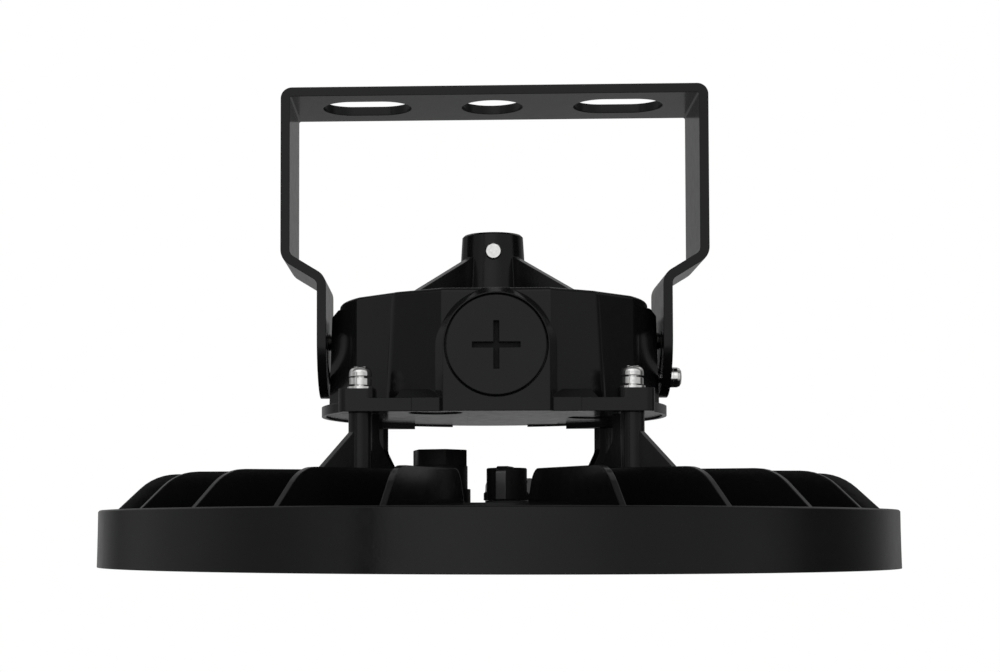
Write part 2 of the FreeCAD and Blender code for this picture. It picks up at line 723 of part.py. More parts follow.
def driver_housing():
    shell = disc(HOUSING_R, FLANGE_UNDER_Z, HOUSING_TOP_Z)
    shell = front_trimmed(side_trimmed(shell, 0, FLANGE_UNDER_Z, HOUSING_TOP_Z), 0, FLANGE_UNDER_Z, HOUSING_TOP_Z)
    shell = shell.fuse(front_block()).removeSplitter()
    shell = filleted(shell, HOUSING_EDGE_ROUND, lambda edge: edge.ZMin > HOUSING_TOP_Z - 0.01)
    flange = cup_plan(FLANGE_R, FLANGE_FRONT_Y, FLANGE_UNDER_Z, FLANGE_TOP_Z)
    body = shell.fuse([flange, front_lip(), pad(), mirrored_x(pad()), wedge(), mirrored_x(wedge()), boss(), hub()])
    body = body.fuse([turned(lug(), 90 * i) for i in range(4)])

    inner_r = HOUSING_R - HOUSING_WALL
    inner_y = FRONT_Y + HOUSING_WALL
    cavity_z = FLANGE_UNDER_Z - EPS, HOUSING_TOP_Z - HOUSING_TOP_T
    cavity = side_trimmed(disc(inner_r, *cavity_z), HOUSING_WALL, *cavity_z)
    cavity = front_trimmed(cavity, HOUSING_WALL, *cavity_z)
    posts = disc(POST_R, CAVITY_Z, CAVITY_Z + POST_H, COVER_SCREW_R)
    bridge = box(COVER_SCREW_R, inner_r + 1, -POST_R, POST_R, CAVITY_Z, CAVITY_Z + POST_H)
    cavity = cavity.cut([turned(posts.fuse(bridge), t) for t in COVER_SCREW_TURNS])
    below_z = COLUMN_TOP_Z - EPS
    seat = cup_plan(FLANGE_R - COVER_LIP, FLANGE_FRONT_Y + COVER_LIP, below_z, CAVITY_Z)
    notch = box(-COVER_NOTCH_HALF_X, COVER_NOTCH_HALF_X, 0, FLANGE_R + EPS, below_z, COVER_Z)
    body = body.cut([cavity, seat, notch])

    small_r = SMALL_SCREW_R + SCREW_PLAY
    post_hole = disc(small_r, CAVITY_Z - EPS, COVER_Z + SMALL_SCREW_L + SCREW_PLAY, COVER_SCREW_R)
    cutters = [turned(post_hole, t) for t in COVER_SCREW_TURNS]
    lug_hole_r = COLUMN_SCREW_R + LUG_HOLE_PLAY
    cutters += around(disc(lug_hole_r, COLUMN_TOP_Z - EPS, LUG_TOP_Z + EPS, COLUMN_PITCH_R), 4, 45)
    cutters.append(disc(HUB_BORE_R, HUB_BORE_FLOOR_Z, HUB_TOP_Z + EPS))
    hub_way = HUB_FOOT_R + EPS
    cutters.append(rod(HUB_SCREW_R + SCREW_PLAY, vec(0, -hub_way, HUB_SCREW_Z), vec(0, hub_way, HUB_SCREW_Z)))
    plug_way = vec(0, BOSS_FRONT_Y - EPS, BOSS_Z)
    cutters.append(rod(PLUG_THREAD_R + PLUG_THREAD_PLAY, plug_way, vec(0, inner_y + EPS, BOSS_Z)))
    seat_y = BOSS_FRONT_Y + PLUG_HEAD_T - PLUG_SINK + PLUG_SEAL_T
    cutters.append(rod(PLUG_R + PLUG_GROOVE, plug_way, vec(0, seat_y, BOSS_Z)))
    for side in (-1, 1):
        pivot_end = side * (PAD_FOOT_X - PIVOT_DEPTH - PIVOT_SHOULDER_END)
        pivot_hole_r = PIVOT_THREAD_R + SCREW_PLAY
        outside = side * (PAD_FOOT_X + EPS)
        cutters.append(rod(pivot_hole_r, vec(outside, 0, PIVOT_Z), vec(pivot_end, 0, PIVOT_Z)))
    lock_end = PAD_FOOT_X - LOCK_BOLT_DEPTH
    cutters.append(
        rod(LOCK_BOLT_R + SCREW_PLAY, vec(PAD_FOOT_X + EPS, 0, LOCK_BOLT_Z), vec(lock_end, 0, LOCK_BOLT_Z))
    )
    return body.cut(cutters).removeSplitter()


def cover_and_gasket():
    """The steel plate under the housing and the gasket behind it."""
    edge = COVER_LIP + COVER_PLAY
    plate = cup_plan(FLANGE_R - edge, FLANGE_FRONT_Y + edge, COVER_Z, COVER_TOP_Z)
    dimples = [disc(COVER_DIMPLE_R, COVER_Z - EPS, COVER_Z + COVER_DIMPLE_D, x, y) for x, y in COVER_DIMPLES]
    plate = plate.cut(dimples)
    x0, x1, y0, y1 = COVER_PANEL
    plate = plate.fuse(box(x0, x1, y0, y1, COVER_Z - COVER_PANEL_D, COVER_Z))
    inner = edge + COVER_GASKET_W
    seal = cup_plan(FLANGE_R - edge, FLANGE_FRONT_Y + edge, COVER_TOP_Z, CAVITY_Z)
    seal = seal.cut(cup_plan(FLANGE_R - inner, FLANGE_FRONT_Y + inner, COVER_TOP_Z - EPS, CAVITY_Z + EPS))
    hole = moved(flat_screw(SCREW_PLAY), COVER_SCREW_R, 0, COVER_Z)
    holes = [turned(hole, t) for t in COVER_SCREW_TURNS]
    pieces = {"cover_plate": plate.cut(holes).removeSplitter(), "cover_gasket": seal}
    for i, t in enumerate(COVER_SCREW_TURNS):
        screw = moved(flat_screw(), COVER_SCREW_R, 0, COVER_Z)
        pieces[f"cover_screw_{i + 1}"] = turned(screw, t)
    return pieces


def knockout():
    """The plug in the housing's front and the seal behind its head."""
    face_y = BOSS_FRONT_Y - PLUG_SINK
    head_end = face_y + PLUG_HEAD_T
    end = face_y + PLUG_DEPTH
    head = rod(PLUG_R, vec(0, face_y, BOSS_Z), vec(0, head_end, BOSS_Z))
    thread = rod(PLUG_THREAD_R, vec(0, head_end, BOSS_Z), vec(0, end, BOSS_Z))
    plug = head.fuse(thread)
    plug = chamfered(plug, PLUG_EDGE_CHAMFER, lambda edge: edge.YMax < face_y + 0.01)
    hollow = rod(PLUG_BORE_R, vec(0, face_y + PLUG_FLOOR_T, BOSS_Z), vec(0, end + EPS, BOSS_Z))
    recess = cross(PLUG_SLOT_L, PLUG_SLOT_W, PLUG_SLOT_D)
    recess.rotate(vec(0, 0, 0), vec(1, 0, 0), 90)
    plug = plug.cut([hollow, moved(recess, y=face_y, z=BOSS_Z)]).removeSplitter()
    seal_end = vec(0, head_end + PLUG_SEAL_T, BOSS_Z)
    seal = rod(PLUG_R - 0.2, vec(0, head_end, BOSS_Z), seal_end)
    bore = rod(PLUG_THREAD_R + PLUG_THREAD_PLAY, vec(0, head_end - EPS, BOSS_Z), seal_end + vec(0, EPS, 0))
    return {"knockout_plug": plug, "plug_seal": seal.cut(bore)}


def driver_parts():
    """The potted driver and the terminal block, both standing on the cover plate."""
    side_x = HOUSING_R - DRIVER_SIDE_IN
    rear_y = HOUSING_R - DRIVER_REAR_IN
    driver = box(-side_x, side_x, rear_y - DRIVER_L, rear_y, COVER_TOP_Z, COVER_TOP_Z + DRIVER_H)
    driver = chamfered(driver, DRIVER_CHAMFER, lambda edge: edge.ZMin > COVER_TOP_Z + DRIVER_H - 1)
    y1 = rear_y - DRIVER_L - TERMINAL_GAP
    y0 = y1 - TERMINAL_L
    block = box(-TERMINAL_HALF_W, TERMINAL_HALF_W, y0, y1, COVER_TOP_Z, COVER_TOP_Z + TERMINAL_H)
    step = 2 * TERMINAL_HALF_W / TERMINAL_WAYS
    level = COVER_TOP_Z + TERMINAL_H / 2
    ways = []
    for i in range(TERMINAL_WAYS):
        x = step * (i + 0.5) - TERMINAL_HALF_W
        ways.append(rod(TERMINAL_WAY_R, vec(x, y0 - EPS, level), vec(x, y0 + TERMINAL_WAY_D, level)))
    return {"driver_module": driver, "terminal_block": block.cut(ways)}


def gland():
    """Cable gland, its cap and the rubber that fills its eye until a cable is drawn in."""
    x, y = GLAND_X, GLAND_Y
    hexagon = Part.makePolygon(
        [
            vec(x + GLAND_CAP_R * math.cos(math.pi / 3 * i), y + GLAND_CAP_R * math.sin(math.pi / 3 * i), 0)
            for i in range(7)
        ]
    )
    body = disc(GLAND_THREAD_R, BASE_UNDER_Z, PLATEAU_Z, x, y)
    body = body.fuse([
        disc(GLAND_FLANGE_R, PLATEAU_Z, GLAND_FLANGE_TOP_Z, x, y),
        disc(GLAND_NECK_R, GLAND_FLANGE_TOP_Z, GLAND_NECK_TOP_Z, x, y),
    ])
    body = body.cut(disc(GLAND_EYE_R + GLAND_WALL, BASE_UNDER_Z - EPS, GLAND_NECK_TOP_Z + EPS, x, y))
    skirt = disc(GLAND_CAP_R, GLAND_FLANGE_TOP_Z, GLAND_CAP_HEX_Z, x, y)
    head = moved(Part.Face(hexagon).extrude(vec(0, 0, GLAND_CAP_TOP_Z - GLAND_CAP_HEX_Z)), z=GLAND_CAP_HEX_Z)
    crown = Part.makeCone(
        GLAND_CAP_R,
        GLAND_CAP_R - 2 * GLAND_CAP_CHAMFER,
        2 * GLAND_CAP_CHAMFER,
        vec(x, y, GLAND_CAP_TOP_Z - 2 * GLAND_CAP_CHAMFER),
    )
    crown = crown.fuse(disc(GLAND_CAP_R, GLAND_CAP_HEX_Z, GLAND_CAP_TOP_Z - 2 * GLAND_CAP_CHAMFER, x, y))
    cap = skirt.fuse(head.common(crown))
    cap = cap.cut([
        disc(GLAND_NECK_R + SCREW_PLAY, GLAND_FLANGE_TOP_Z - EPS, GLAND_CAP_HEX_Z, x, y),
        disc(GLAND_EYE_R, GLAND_CAP_HEX_Z - EPS, GLAND_CAP_TOP_Z + EPS, x, y),
    ])
    seal = disc(GLAND_EYE_R + GLAND_WALL - SCREW_PLAY, GLAND_FLANGE_TOP_Z, GLAND_CAP_HEX_Z, x, y)
    seal = seal.fuse(disc(GLAND_EYE_R - SCREW_PLAY, GLAND_CAP_HEX_Z, GLAND_CAP_TOP_Z - 0.6, x, y))
    return {
        "gland_body": body.removeSplitter(),
        "gland_cap": cap.removeSplitter(),
        "gland_seal": seal.removeSplitter(),
    }


def vent():
    """Breather that lets the light engine's air in and keeps water out, on its own seal."""
    seat = PLATEAU_Z + VENT_SEAL_T
    body = disc(VENT_THREAD_R, BASE_UNDER_Z + 2, seat, VENT_X, VENT_Y)
    cap = lathe([
        (0, VENT_FLANGE_TOP_Z, 0),
        (VENT_CAP_R, VENT_FLANGE_TOP_Z, 0),
        (VENT_CAP_R, VENT_TOP_Z - VENT_CHAMFER, 0),
        (VENT_CAP_R - VENT_CHAMFER, VENT_TOP_Z, 0),
        (0, VENT_TOP_Z, 0),
    ])
    rib = box(-VENT_CAP_R, VENT_CAP_R, -VENT_RIB_T / 2, VENT_RIB_T / 2, VENT_FLANGE_TOP_Z, VENT_TOP_Z + VENT_RIB_H)
    rib = turned(rib, -VENT_RIB_TURN)
    flange = disc(VENT_FLANGE_R, seat, VENT_FLANGE_TOP_Z, VENT_X, VENT_Y)
    body = body.fuse([flange, moved(cap.fuse(rib), VENT_X, VENT_Y)]).removeSplitter()
    seal = ring(VENT_THREAD_R + SCREW_PLAY, VENT_SEAL_R, PLATEAU_Z, seat, VENT_X, VENT_Y)
    return {"vent_plug": body, "vent_seal": seal}


def yoke():
    upper = YOKE_UPPER_X - BAR_T / 2
    lower = LEG_IN_X + BAR_T / 2
    half = [
        (lower, PIVOT_Z - BAR_W / 2, 0),
        (lower, KNEE_LOW_Z, KNEE_BEND_R),
        (upper, KNEE_HIGH_Z, KNEE_BEND_R),
        (upper, YOKE_TOP_Z - BAR_T / 2, TOP_BEND_R),
    ]
    path = half + [(-u, v, radius) for u, v, radius in half[::-1]]
    bar = strip_face(path, BAR_T, in_front).extrude(vec(0, BAR_W, 0))
    bar = moved(bar, y=-BAR_W / 2)

    top_in = YOKE_TOP_Z - BAR_T - EPS
    cutters = [disc(CENTRE_HOLE_R, top_in, YOKE_TOP_Z + EPS)]
    for side in (-1, 1):
        cutters.append(obround(SLOT_L, SLOT_W, top_in, YOKE_TOP_Z + EPS, side * SLOT_X))
        cutters += leg_cutters(side)
    return bar.cut(cutters).removeSplitter()


def leg_cutters(side):
    """What is cut from one leg: its round end, pivot hole with the head's sink, and the tilt slot."""
    near, far = side * (LEG_IN_X - EPS), side * (LEG_OUT_X + EPS)
    x0, x1 = min(near, far), max(near, far)
    below = box(x0, x1, -BAR_W, BAR_W, PIVOT_Z - BAR_W, PIVOT_Z)
    ends = below.cut(rod(BAR_W / 2, vec(x0 - EPS, 0, PIVOT_Z), vec(x1 + EPS, 0, PIVOT_Z)))
    hole = rod(PIVOT_R + PIVOT_PLAY, vec(near, 0, PIVOT_Z), vec(far, 0, PIVOT_Z))
    sink_x = side * (LEG_OUT_X - PIVOT_HEAD_T - PIVOT_SHOULDER_END)
    sink = rod(PIVOT_HEAD_SINK_R, vec(sink_x, 0, PIVOT_Z), vec(far, 0, PIVOT_Z))
    outer = rod(TILT_SLOT_R + TILT_SLOT_W / 2, vec(near, 0, PIVOT_Z), vec(far, 0, PIVOT_Z))
    inner = rod(TILT_SLOT_R - TILT_SLOT_W / 2, vec(near, 0, PIVOT_Z), vec(far, 0, PIVOT_Z))
    arc = outer.cut(inner).common(below)
    slot_ends = [
        rod(TILT_SLOT_W / 2, vec(near, y, PIVOT_Z), vec(far, y, PIVOT_Z)) for y in (-TILT_SLOT_R, TILT_SLOT_R)
    ]
    return [ends, hole, sink, arc.fuse(slot_ends)]


def along_x(shape, side, x, z):
    """Lays a piece made along +Z on the X axis, pointing out of the light, with its seat at x."""
    laid = shape.copy()
    laid.rotate(vec(0, 0, 0), vec(0, 1, 0), 90 * side)
    return moved(laid, side * x, 0, z)


def yoke_fixings():
    """Shoulder screws the yoke turns on, and the bolt that locks its tilt."""
    shoulder_end = PIVOT_SHOULDER_END
    shoulder_l = LEG_OUT_X - PIVOT_HEAD_T - PAD_FOOT_X
    head = chamfered(disc(PIVOT_HEAD_R, 0, PIVOT_HEAD_T), SMALL_CHAMFER, lambda edge: edge.ZMin > EPS)
    shoulder = disc(PIVOT_R, -shoulder_l, 0)
    thread = disc(PIVOT_THREAD_R, -shoulder_l - PIVOT_DEPTH + shoulder_end, -shoulder_l)
    recess = moved(cross(PIVOT_HEAD_R, 0.9, PIVOT_HEAD_T * 0.6), z=PIVOT_HEAD_T)
    pivot = head.fuse([shoulder, thread]).cut(recess).removeSplitter()

    washer_x = LEG_OUT_X + SCREW_PLAY
    washer = ring(LOCK_BOLT_R + SCREW_PLAY, FLAT_WASHER_R, 0, LOCK_WASHER_T)
    spring = ring(LOCK_BOLT_R + SCREW_PLAY, LOCK_HEAD_R, 0, LOCK_SPRING_T)
    split = box(0, LOCK_HEAD_R + EPS, -SPRING_WASHER_SPLIT / 2, SPRING_WASHER_SPLIT / 2, -EPS, LOCK_SPRING_T + EPS)
    spring_x = washer_x + LOCK_WASHER_T
    head_x = spring_x + LOCK_SPRING_T
    bolt_l = head_x - PAD_FOOT_X + LOCK_BOLT_DEPTH - 0.5
    bolt = pan_screw(LOCK_BOLT_R, bolt_l, LOCK_HEAD_R, LOCK_HEAD_T)
    head_x_on_leg = LEG_OUT_X - PIVOT_HEAD_T
    return {
        "pivot_screw_left": along_x(pivot, -1, head_x_on_leg, PIVOT_Z),
        "pivot_screw_right": along_x(pivot, 1, head_x_on_leg, PIVOT_Z),
        "lock_bolt": along_x(bolt, 1, head_x, LOCK_BOLT_Z),
        "lock_spring_washer": along_x(spring.cut(split), 1, spring_x, LOCK_BOLT_Z),
        "lock_washer": along_x(washer, 1, washer_x, LOCK_BOLT_Z),
    }


def spring_washer():
    """A spring washer not yet pressed flat: it leans between its neighbours and is split behind."""
    inner = COLUMN_SCREW_R + SCREW_PLAY
    whole = ring(inner, COLUMN_HEAD_R, 0, SPRING_WASHER_T)
    lean = math.degrees(math.atan2(SPRING_WASHER_LEAN, 2 * COLUMN_HEAD_R))
    wide = 3 * COLUMN_HEAD_R
    slab_t = (SPRING_WASHER_T - SPRING_WASHER_LEAN) * math.cos(math.radians(lean))
    slab = box(-wide, wide, -wide, wide, -slab_t / 2, slab_t / 2)
    slab.rotate(vec(0, 0, 0), vec(0, 1, 0), lean)
    split_half = SPRING_WASHER_SPLIT / 2
    split = box(-split_half, split_half, 0, wide, -EPS, SPRING_WASHER_T + EPS)
    return whole.common(moved(slab, z=SPRING_WASHER_T / 2)).cut(split)


def column_fixings():
    """The screw, spring washer and flat washer on each lug."""
    screw_z = LUG_TOP_Z + FLAT_WASHER_T + SPRING_WASHER_T
    shank_l = screw_z - COLUMN_TOP_Z + COLUMN_SCREW_DEPTH
    screw = pan_screw(COLUMN_SCREW_R, shank_l, COLUMN_HEAD_R, COLUMN_HEAD_T)
    flat = ring(COLUMN_SCREW_R + SCREW_PLAY, FLAT_WASHER_R, 0, FLAT_WASHER_T)
    pieces = {}
    for name, sx, sy in (
        ("front_left", -1, -1),
        ("front_right", 1, -1),
        ("rear_right", 1, 1),
        ("rear_left", -1, 1),
    ):
        x, y = sx * COLUMN_X, sy * COLUMN_X
        pieces[f"column_screw_{name}"] = moved(screw, x, y, screw_z)
        pieces[f"spring_washer_{name}"] = moved(spring_washer(), x, y, LUG_TOP_Z + FLAT_WASHER_T)
        pieces[f"flat_washer_{name}"] = moved(flat, x, y, LUG_TOP_Z)
    return pieces


def hub_screw():
    """Screw across the hub that pins a hook's shank, driven from behind, its plain end showing in front."""
    hub_r = HUB_TOP_R + (HUB_FOOT_R - HUB_TOP_R) * (HUB_TOP_Z - HUB_SCREW_Z) / (HUB_TOP_Z - HOUSING_TOP_Z)
    front = -hub_r - HUB_SCREW_PROUD
    back = hub_r - HUB_SCREW_SINK
    screw = rod(HUB_SCREW_R, vec(0, front, HUB_SCREW_Z), vec(0, back, HUB_SCREW_Z))
    screw = chamfered(screw, SMALL_CHAMFER, lambda edge: edge.YMax < front + 0.01)
    key = rod(HUB_SCREW_KEY_R, vec(0, back - HUB_SCREW_KEY_D, HUB_SCREW_Z), vec(0, back + EPS, HUB_SCREW_Z))
    return screw.cut(key)


def main():
    pieces = {"heatsink": heatsink(), "driver_housing": driver_housing(), "yoke": yoke()}
    pieces.update(light_engine())
    pieces.update(cover_and_gasket())
    pieces.update(knockout())
    pieces.update(driver_parts())
    pieces.update(gland())
    pieces.update(vent())
    pieces.update(yoke_fixings())
    pieces.update(column_fixings())
    pieces["hub_screw"] = hub_screw()
    os.makedirs("parts", exist_ok=True)
    for name, shape in pieces.items():
        if not shape.isValid():
            raise ValueError(f"{name} is not a valid shape")
        print(f"{name}: {len(shape.Solids)} solid, {shape.Volume / 1000:.1f} cm3")
        shape.exportStep(f"parts/{name}.step")


main()
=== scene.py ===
"""High bay light: its finishes, fine detail, stage and camera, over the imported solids. Metres, +Z up."""

import math

import bmesh
import bpy
from mathutils import Matrix, Vector

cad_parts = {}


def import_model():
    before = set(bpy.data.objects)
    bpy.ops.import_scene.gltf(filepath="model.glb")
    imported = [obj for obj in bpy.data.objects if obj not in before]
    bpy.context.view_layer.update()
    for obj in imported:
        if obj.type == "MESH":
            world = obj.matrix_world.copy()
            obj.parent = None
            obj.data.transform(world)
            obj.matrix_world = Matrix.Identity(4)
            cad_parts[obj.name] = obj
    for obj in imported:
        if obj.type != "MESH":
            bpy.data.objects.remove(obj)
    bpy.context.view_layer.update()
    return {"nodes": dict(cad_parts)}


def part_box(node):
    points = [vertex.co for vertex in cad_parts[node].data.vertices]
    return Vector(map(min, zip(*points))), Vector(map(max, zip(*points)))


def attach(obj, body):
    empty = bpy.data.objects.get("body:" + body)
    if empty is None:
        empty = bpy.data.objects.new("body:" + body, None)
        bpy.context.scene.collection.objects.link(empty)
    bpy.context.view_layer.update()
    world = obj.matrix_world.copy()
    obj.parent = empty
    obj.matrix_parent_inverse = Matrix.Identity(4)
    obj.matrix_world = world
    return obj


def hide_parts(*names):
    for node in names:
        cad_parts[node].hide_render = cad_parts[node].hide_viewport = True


# Camera: in front of the light, just above the level of its rim's lower edge, looking slightly up and to the
# left of it, with the picture shifted right and up until the light is in its middle. Angles are in degrees.
CAMERA_AT = (-0.013565, -0.664427, 0.011118)
CAMERA_PITCH = 2.527
CAMERA_TURN = 2.675
CAMERA_LENS = 66.85
CAMERA_SENSOR = 36.0
CAMERA_SHIFT = (0.1314, 0.1172)

# Stage: a round pale floor below the hanging light, whose paint fades into the white round it.
FLOOR_Z = -0.1
FLOOR_R = 0.6
FLOOR_SEGMENTS = 96
FLOOR_COLOUR = (0.82, 0.82, 0.82)
FLOOR_LIGHTER = (0.84, 0.84, 0.84)
FLOOR_CLOUD_CELL = 0.4
FLOOR_ROUGHNESS = 0.9
FLOOR_WASH = 0.94
FLOOR_WASH_R = 0.3
FLOOR_WHITE_R = 0.582
FLOOR_GLOSS = 0.27

# One large soft lamp, high in front and to the left.
LAMP_SIZE = (2.0, 1.2)
LAMP_AT = (-0.5, -1.7, 1.3)
LAMP_AIM = (0.0, 0.0, 0.05)
LAMP_WATTS = 3.0

# How bright the studio is where it only lights.
WORLD_DIFFUSE = 0.6

# The studio as gloss shows it: brightness at the horizon by the degrees from the front, left negative.
GLOSS_ROUND = (
    (-180, 0.24), (-166, 0.24), (-156, 0.3), (-146, 0.22), (-132, 0.13), (-114, 0.4), (-90, 0.5),
    (-68, 0.36), (-54, 0.44), (-39, 0.76), (-37, 0.1), (-33, 0.1), (-31, 1.0), (-10, 1.1),
    (8, 0.94), (21, 0.78), (32, 0.6), (74, 0.58), (83, 0.36), (91, 0.12), (100, 0.05),
    (116, 0.1), (130, 0.2), (142, 0.28), (159, 0.16), (169, 0.28), (180, 0.24),
)
# The same over the top, from the front horizon, 0, to the back one, 1: a dark ceiling, and a lit screen high
# behind.
GLOSS_OVERHEAD = ((0.0, 0.9), (0.28, 0.8), (0.34, 0.2), (0.54, 0.2), (0.62, 0.6), (0.84, 0.5), (0.95, 0.2))
# The heights between which the first gives way to the second, of a direction one long.
GLOSS_LOW = 0.16
GLOSS_HIGH = 0.6

# All finishes: what noise mostly lies between, and how finely soft edges are worked out.
NOISE_LOW = 0.3
NOISE_HIGH = 0.7
EDGE_SAMPLES = 6

# Black coats.
COAT_COLOUR = (0.0054, 0.0054, 0.0056)
COAT_LIGHTER = 1.35
COAT_ROUGHNESS = (0.16, 0.21)
COAT_SPECULAR = 0.22
COAT_EDGE_R = 0.00045
PLUG_FACE_Y = -0.0535
PLUG_FADE_D = 0.001
PLUG_SLOT_ROUGHNESS = 0.62

# The lens. It bends light less than the real plastic does, so that the chips show through its domes.
LENS_TINT = (0.95, 0.97, 0.98)
LENS_IOR = 1.2
LENS_ROUGHNESS = (0.03, 0.09)

# All new pieces: how near points are one, the degrees from which an edge is sharp, and how much of a length
# counts as all of it.
MERGE_DIST = 0.000001
SHARP_ANGLE = 32.0
NEARLY = 0.99

# The housing's corners, as the screws on its lugs are named.
CORNERS = ("front_left", "front_right", "rear_right", "rear_left")

# Pan-head screws on the lugs. The head's profile is in shares of its radius and height, from the recess down.
PAN_R = 0.0038
PAN_T = 0.0032
PAN_PROFILE = ((0.66, 0.97), (0.8, 0.88), (0.9, 0.76), (0.97, 0.6), (1.0, 0.42), (1.0, 0.06), (0.98, 0.0))
PAN_RECESS_R = 0.0021
PAN_RECESS_HALF_W = 0.00045
PAN_RECESS_D = 0.0015
PAN_SHANK_R = 0.002
PAN_SEGMENTS = 32

# Their spring washers. The split is in degrees.
SPRING_IN_R = 0.0021
SPRING_OUT_R = 0.00375
SPRING_SECTION_H = 0.0022
SPRING_PLAY = 0.00004
SPRING_SPLIT = 12.0
SPRING_STEPS = 40

# Cable gland's cap: a hexagon on a round skirt. Turns are in degrees, here and on the breather.
GLAND_HEX_SIDES = 6
GLAND_HEX_R = 0.00983
GLAND_HEX_TURN = 12.0
GLAND_HEX_Z = 0.0352
GLAND_HEX_LEAST_H = 0.004
GLAND_SKIRT_R = 0.0096
GLAND_SKIRT_GAP = 0.0002
GLAND_NECK_R = 0.00746
GLAND_EYE_R = 0.004
GLAND_EDGE = 0.0003
GLAND_SEGMENTS = 48

# Breather: a round cap with one rib across it, and a flange.
VENT_STEM_R = 0.0048
VENT_FLANGE_R = 0.00785
VENT_FLANGE_Z = (0.0231, 0.026)
VENT_FLANGE_EDGE = (0.0005, 0.0006)
VENT_CAP_R = 0.0069
VENT_CAP_EDGE = 0.0003
VENT_BASE_BACK = 0.003
VENT_SEGMENTS = 64
VENT_RIB_R = 0.0072
VENT_RIB_W = 0.0037
VENT_RIB_TURN = -15.0
VENT_RIB_SHIFT = -0.0004
VENT_RIB_H = 0.0006
VENT_RIB_ROUND = 0.0028
VENT_RIB_EDGE = 0.0002

# Domes moulded on the lens, one below each chip of the light board's rings.
DOME_RINGS = ((0.022, 6), (0.040, 12), (0.058, 18), (0.076, 24), (0.094, 30))
DOME_R = 0.0072
DOME_FLATNESS = 0.42
DOME_TOP_Z = 0.00386
DOME_SEGMENTS = 20
DOME_LEVELS = 10
DOME_CUT_DIST = 0.0000001


def shader(name):
    """A new material, its node tree and its surface shader."""
    material = bpy.data.materials.new(name)
    material.use_nodes = True
    tree = material.node_tree
    return material, tree, tree.nodes["Principled BSDF"]


def add(tree, kind, **values):
    """Adds a node and sets its sockets, named with _ for a space."""
    made = tree.nodes.new(kind)
    for name, value in values.items():
        made.inputs[name.replace("_", " ")].default_value = value
    return made


def grain(tree, cell, detail=2.0):
    """Noise with cells of about that many metres, fixed to the piece."""
    place = add(tree, "ShaderNodeTexCoord")
    noise = add(tree, "ShaderNodeTexNoise", Scale=1.0 / cell, Detail=detail)
    tree.links.new(place.outputs["Object"], noise.inputs["Vector"])
    return noise.outputs["Fac"]


def ranged(tree, value, from_min, from_max, to_min=0.0, to_max=1.0):
    """Takes a value from one range to another, and no further."""
    node = add(
        tree, "ShaderNodeMapRange", From_Min=from_min, From_Max=from_max, To_Min=to_min, To_Max=to_max
    )
    tree.links.new(value, node.inputs["Value"])
    return node.outputs["Result"]


def spread(tree, noise, low, high):
    """Spreads noise over a range."""
    return ranged(tree, noise, NOISE_LOW, NOISE_HIGH, low, high)


def two_tone(tree, noise, first, second):
    """Clouds one colour with another."""
    mix = tree.nodes.new("ShaderNodeMix")
    mix.data_type = "RGBA"
    colour_a, colour_b = [socket for socket in mix.inputs if socket.type == "RGBA"]
    colour_a.default_value = (*first, 1.0)
    colour_b.default_value = (*second, 1.0)
    tree.links.new(spread(tree, noise, 0.0, 1.0), mix.inputs["Factor"])
    return [socket for socket in mix.outputs if socket.type == "RGBA"][0]


def calc(tree, operation, *values):
    """A Math node on sockets and plain numbers."""
    node = tree.nodes.new("ShaderNodeMath")
    node.operation = operation
    for socket, value in zip(node.inputs, values):
        if isinstance(value, (int, float)):
            socket.default_value = value
        else:
            tree.links.new(value, socket)
    return node.outputs["Value"]


def mixed(tree, share, first, second):
    """One shader that gives way to another by a share from 0 to 1."""
    mix = tree.nodes.new("ShaderNodeMixShader")
    tree.links.new(share, mix.inputs["Fac"])
    tree.links.new(first, mix.inputs[1])
    tree.links.new(second, mix.inputs[2])
    return mix.outputs["Shader"]


def relief(tree, surface, height, depth, edge_r=0.0):
    """Presses a pattern into the surface and softens the edges seen in its gloss."""
    bump = add(tree, "ShaderNodeBump", Strength=1.0, Distance=depth)
    tree.links.new(height, bump.inputs["Height"])
    if edge_r:
        bevel = add(tree, "ShaderNodeBevel", Radius=edge_r)
        bevel.samples = EDGE_SAMPLES
        tree.links.new(bevel.outputs["Normal"], bump.inputs["Normal"])
    tree.links.new(bump.outputs["Normal"], surface.inputs["Normal"])


def finish(
    name, dark, light, cloud_cell, roughness, rough_cell, bump_cell, bump_depth, edge_r,
    cloud_detail=2.0, bump_detail=2.0, metal=0.0, specular=0.5,
):
    """An opaque finish: a clouded colour, an uneven gloss, a fine relief and slightly soft edges."""
    material, tree, surface = shader(name)
    tones = two_tone(tree, grain(tree, cloud_cell, cloud_detail), dark, light)
    tree.links.new(tones, surface.inputs["Base Color"])
    tree.links.new(spread(tree, grain(tree, rough_cell), *roughness), surface.inputs["Roughness"])
    surface.inputs["Metallic"].default_value = metal
    surface.inputs["Specular IOR Level"].default_value = specular
    relief(tree, surface, grain(tree, bump_cell, bump_detail), bump_depth, edge_r)
    return material


def black_coat(name, peel_cell=0.0014, peel_depth=0.000015):
    """Satin black powder coat: nearly even, with a fine peel."""
    lighter = [part * COAT_LIGHTER for part in COAT_COLOUR]
    return finish(
        name, COAT_COLOUR, lighter, cloud_cell=0.03, roughness=COAT_ROUGHNESS, rough_cell=0.004,
        bump_cell=peel_cell, bump_detail=3.0, bump_depth=peel_depth, edge_r=COAT_EDGE_R,
        specular=COAT_SPECULAR,
    )


def casting_coat(name):
    """The same coat on the castings, with a tighter and deeper peel."""
    return black_coat(name, peel_cell=0.0011, peel_depth=0.00002)


def bright_zinc():
    """Bright zinc plate with faint clouding."""
    return finish(
        "bright_zinc", (0.64, 0.64, 0.63), (0.8, 0.8, 0.79), cloud_cell=0.0012, cloud_detail=3.0,
        roughness=(0.07, 0.13), rough_cell=0.0006, bump_cell=0.0004, bump_detail=3.0, bump_depth=0.000002,
        edge_r=0.00012, metal=1.0,
    )


